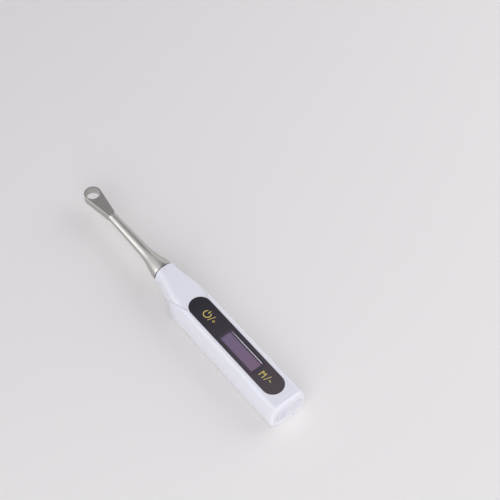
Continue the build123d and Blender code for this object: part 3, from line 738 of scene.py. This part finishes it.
# %% An open ring of ink
def open_ring(centre, radius, width, gap_degrees):
    """A ring of ink with its gap towards the panel's far side."""
    start = math.radians(90 - gap_degrees / 2)
    bpy.ops.object.select_all(action="DESELECT")
    bpy.ops.mesh.primitive_plane_add(
        size=MM,
        location=(
            (centre[0] + radius * math.cos(start)) * MM,
            (centre[1] + radius * math.sin(start)) * MM,
            (ink_bottom + ink_top) / 2 * MM,
        ),
        rotation=(math.pi / 2, 0, start),
    )
    ring = bpy.context.object
    ring.scale = (width, ink_top - ink_bottom, 1)
    bpy.ops.object.transform_apply(location=True, rotation=True, scale=True)
    bpy.ops.object.mode_set(mode="EDIT")
    bpy.ops.mesh.select_all(action="SELECT")
    bpy.ops.mesh.spin(
        steps=36,
        angle=math.radians(360 - gap_degrees),
        center=(centre[0] * MM, centre[1] * MM, 0),
        axis=(0, 0, 1),
    )
    bpy.ops.mesh.select_all(action="SELECT")
    bpy.ops.mesh.remove_doubles(threshold=same_place)
    bpy.ops.mesh.normals_make_consistent(inside=False)
    bpy.ops.object.mode_set(mode="OBJECT")
    strokes.append(ring)


bold, fine, minus_width = 0.42, 0.3, 0.34
power_place = (91.2, 0.0)
open_ring(power_place, radius=1.85, width=bold, gap_degrees=74)
print("ring faces:", len(strokes[0].data.polygons))

# %% [markdown]
# The straight strokes are a plain list of starts and ends, in millimetres from the driver bore
# and from the panel's middle line. Reading them off a list is quicker than placing ten blocks
# by hand, and each can be moved alone.

# %% Draw the straight strokes
for start, end, width in (
    # The upright of the power sign, a slash and a plus.
    ((91.2, 0.7), (91.2, 2.1), bold),
    ((93.9, -1.8), (94.9, 1.8), fine),
    ((95.6, -0.3), (96.8, -0.3), fine),
    ((96.2, -0.9), (96.2, 0.3), fine),
    # The letter M for mode, a slash and a minus.
    ((131.2, -1.7), (131.2, 1.5), bold),
    ((131.2, 1.5), (132.25, 0.0), bold),
    ((132.25, 0.0), (133.3, 1.5), bold),
    ((133.3, 1.5), (133.3, -1.7), bold),
    ((134.6, -1.7), (135.7, 1.8), fine),
    ((136.5, -0.1), (137.6, -0.1), minus_width),
):
    bar(start, end, width)
print("strokes:", len(strokes))

# %% [markdown]
# All strokes were printed in one pass, so they become one piece with one ink. Joining keeps
# each stroke a closed solid of its own, where a boolean union would cost time and could fail
# at the points of the M.

# %% Panel marks
bpy.ops.object.select_all(action="DESELECT")
for stroke in strokes:
    stroke.select_set(True)
marks = strokes[0]
bpy.context.view_layer.objects.active = marks
bpy.ops.object.join()
marks.name = "panel_marks"
bpy.ops.object.shade_smooth_by_angle(angle=smooth_angle)
marks.data.materials.append(finishes["gold_ink"])
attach(marks, "handle")
print("faces in the marks:", len(marks.data.polygons))

# %% [markdown]
# ## The floor
# The wrench lies on its back on a plain pale floor, with its lowest point just touching. One
# large square is enough: it ends two metres away, where it fades into the equally pale world.

# %% Floor
floor_size = 4.0
wrench_middle = 0.07
lowest = cad_box[0][2]
bpy.ops.object.select_all(action="DESELECT")
bpy.ops.mesh.primitive_plane_add(size=floor_size, location=(wrench_middle, 0, lowest))
floor = bpy.context.object
floor.name = "floor"
floor.data.materials.append(new_material("matte_floor_paint", "#F6F3F0", roughness=0.8)[0])
print("floor at", round(lowest / MM, 2), "mm")

# %% [markdown]
# ## The world
# A pale world at less than half strength fills the shadows. The camera, reflections and glass
# see a whiter backdrop instead, which Light Path tells apart from light that falls on the
# wrench. A wall behind the floor could do that too, but it would stand in the way of other
# views.

# %% World
fill_strength = 0.45
backdrop_strength = 0.95
world = bpy.data.worlds.new("studio")
scene.world = world
world.use_nodes = True
sky = world.node_tree
sky.nodes.clear()
rays = add_node(sky, "ShaderNodeLightPath")
seen = rays.outputs["Is Camera Ray"]
for kind in ("Is Glossy Ray", "Is Transmission Ray"):
    either = add_node(
        sky, "ShaderNodeMath", {}, {0: seen, 1: rays.outputs[kind]}, operation="MAXIMUM"
    )
    seen = either.outputs["Value"]
fill = add_node(
    sky,
    "ShaderNodeBackground",
    {"Color": linear_colour("#F4F5FF"), "Strength": fill_strength},
)
backdrop = add_node(
    sky,
    "ShaderNodeBackground",
    {"Color": linear_colour("#FFFFFF"), "Strength": backdrop_strength},
)
chosen = add_node(
    sky,
    "ShaderNodeMixShader",
    {},
    {0: seen, 1: fill.outputs["Background"], 2: backdrop.outputs["Background"]},
)
add_node(sky, "ShaderNodeOutputWorld", {}, {"Surface": chosen.outputs["Shader"]})
scene.view_settings.view_transform = "Standard"
print("world: fill", fill_strength, "and backdrop", backdrop_strength)

# %% [markdown]
# ## Two soft lamps
# A large soft lamp stands past the end cap on the near side, as in the photograph, so the
# slopes of the neck lie in soft shade. A weaker lamp on the far side draws the bright rim
# along the handle. A sun lamp could be softened too, but a square close by fades a little
# along the wrench, as a studio lamp does. The lamps are kept out of reflections, as behind a
# polarizing filter, so the dark film has no glare. Floor, lamps, cards and camera stand in
# metres.

# %% Lamps
lit_middle = (0.08, 0.0, 0.0)


def soft_lamp(name, place, size, watts):
    """A square area lamp at a place, turned towards the middle of the wrench."""
    light = bpy.data.lights.new(name, "AREA")
    light.size = size
    light.energy = watts
    lamp = bpy.data.objects.new(name, light)
    scene.collection.objects.link(lamp)
    lamp.location = place
    towards = Vector(lit_middle) - Vector(place)
    lamp.rotation_euler = towards.to_track_quat("-Z", "Y").to_euler()
    lamp.visible_glossy = False


soft_lamp("key_lamp", place=(0.61, -0.57, 0.50), size=1.0, watts=4.9)
soft_lamp("side_lamp", place=(0.28, 0.60, 0.38), size=0.8, watts=2.3)

# %% [markdown]
# ## Cards for the reflections
# Steel and dark film show what stands round them, so a studio sets cards round a shiny tool. A
# grey card hangs where the camera's view is mirrored in a flat top: the film keeps its depth
# and the steel its darker upper side. A white card stands low on the near side and draws the
# long highlight along the arm, and a smaller one on the far side does the same for a viewer
# who stands behind. All are seen in reflections only and throw no shadow, so moving one
# changes what shines and nothing else.

# %% Cards
card_distance = 0.6
mirrored_middle = Vector((0.06, 0.0, 0.0))


def card(name, direction, size, colour, strength):
    """A glowing square card, seen from the middle of the wrench in the given direction."""
    bpy.ops.object.select_all(action="DESELECT")
    towards = Vector(direction).normalized()
    bpy.ops.mesh.primitive_plane_add(
        size=size,
        location=mirrored_middle + towards * card_distance,
        rotation=(-towards).to_track_quat("Z", "Y").to_euler(),
    )
    sheet = bpy.context.object
    sheet.name = name
    sheet.visible_camera = False
    sheet.visible_diffuse = False
    sheet.visible_shadow = False
    cloth = new_material(
        name + "_cloth",
        "#000000",
        roughness=0.9,
        Emission_Color=linear_colour(colour),
        Emission_Strength=strength,
    )[0]
    sheet.data.materials.append(cloth)


card("grey_card", (-0.4476, 0.3587, 0.8192), size=0.5, colour="#959598", strength=1.0)
card("white_card", (-0.4476, -0.82, 0.36), size=0.45, colour="#FFFFFF", strength=2.2)
card("far_white_card", (0.68, 0.5, 0.53), size=0.3, colour="#FFFFFF", strength=2.2)

# %% [markdown]
# ## The camera
# The camera stands where the photographer's did: 51 degrees round and 55 degrees up, with a
# long lens, so that the wrench keeps the photograph's slight perspective. Its lens is worked
# out from the picture: a focal length in pixels, over the picture's width in pixels, times the
# width of the sensor.

# %% Camera
camera_azimuth = math.radians(51.29)
camera_elevation = math.radians(55.0)
camera_place = (0.41466, -0.23404, 0.62511)
photo_width = 500
focal_pixels = 1600
sensor_width = 36.0
camera_data = bpy.data.cameras.new("camera")
camera_data.sensor_width = sensor_width
camera_data.lens = focal_pixels / photo_width * sensor_width
camera = bpy.data.objects.new("camera", camera_data)
scene.collection.objects.link(camera)
camera.location = camera_place
towards_camera = Vector(
    (
        math.sin(camera_azimuth) * math.cos(camera_elevation),
        -math.cos(camera_azimuth) * math.cos(camera_elevation),
        math.sin(camera_elevation),
    )
)
camera.rotation_euler = (-towards_camera).to_track_quat("-Z", "Y").to_euler()
scene.camera = camera
print("lens:", round(camera_data.lens, 1), "mm")
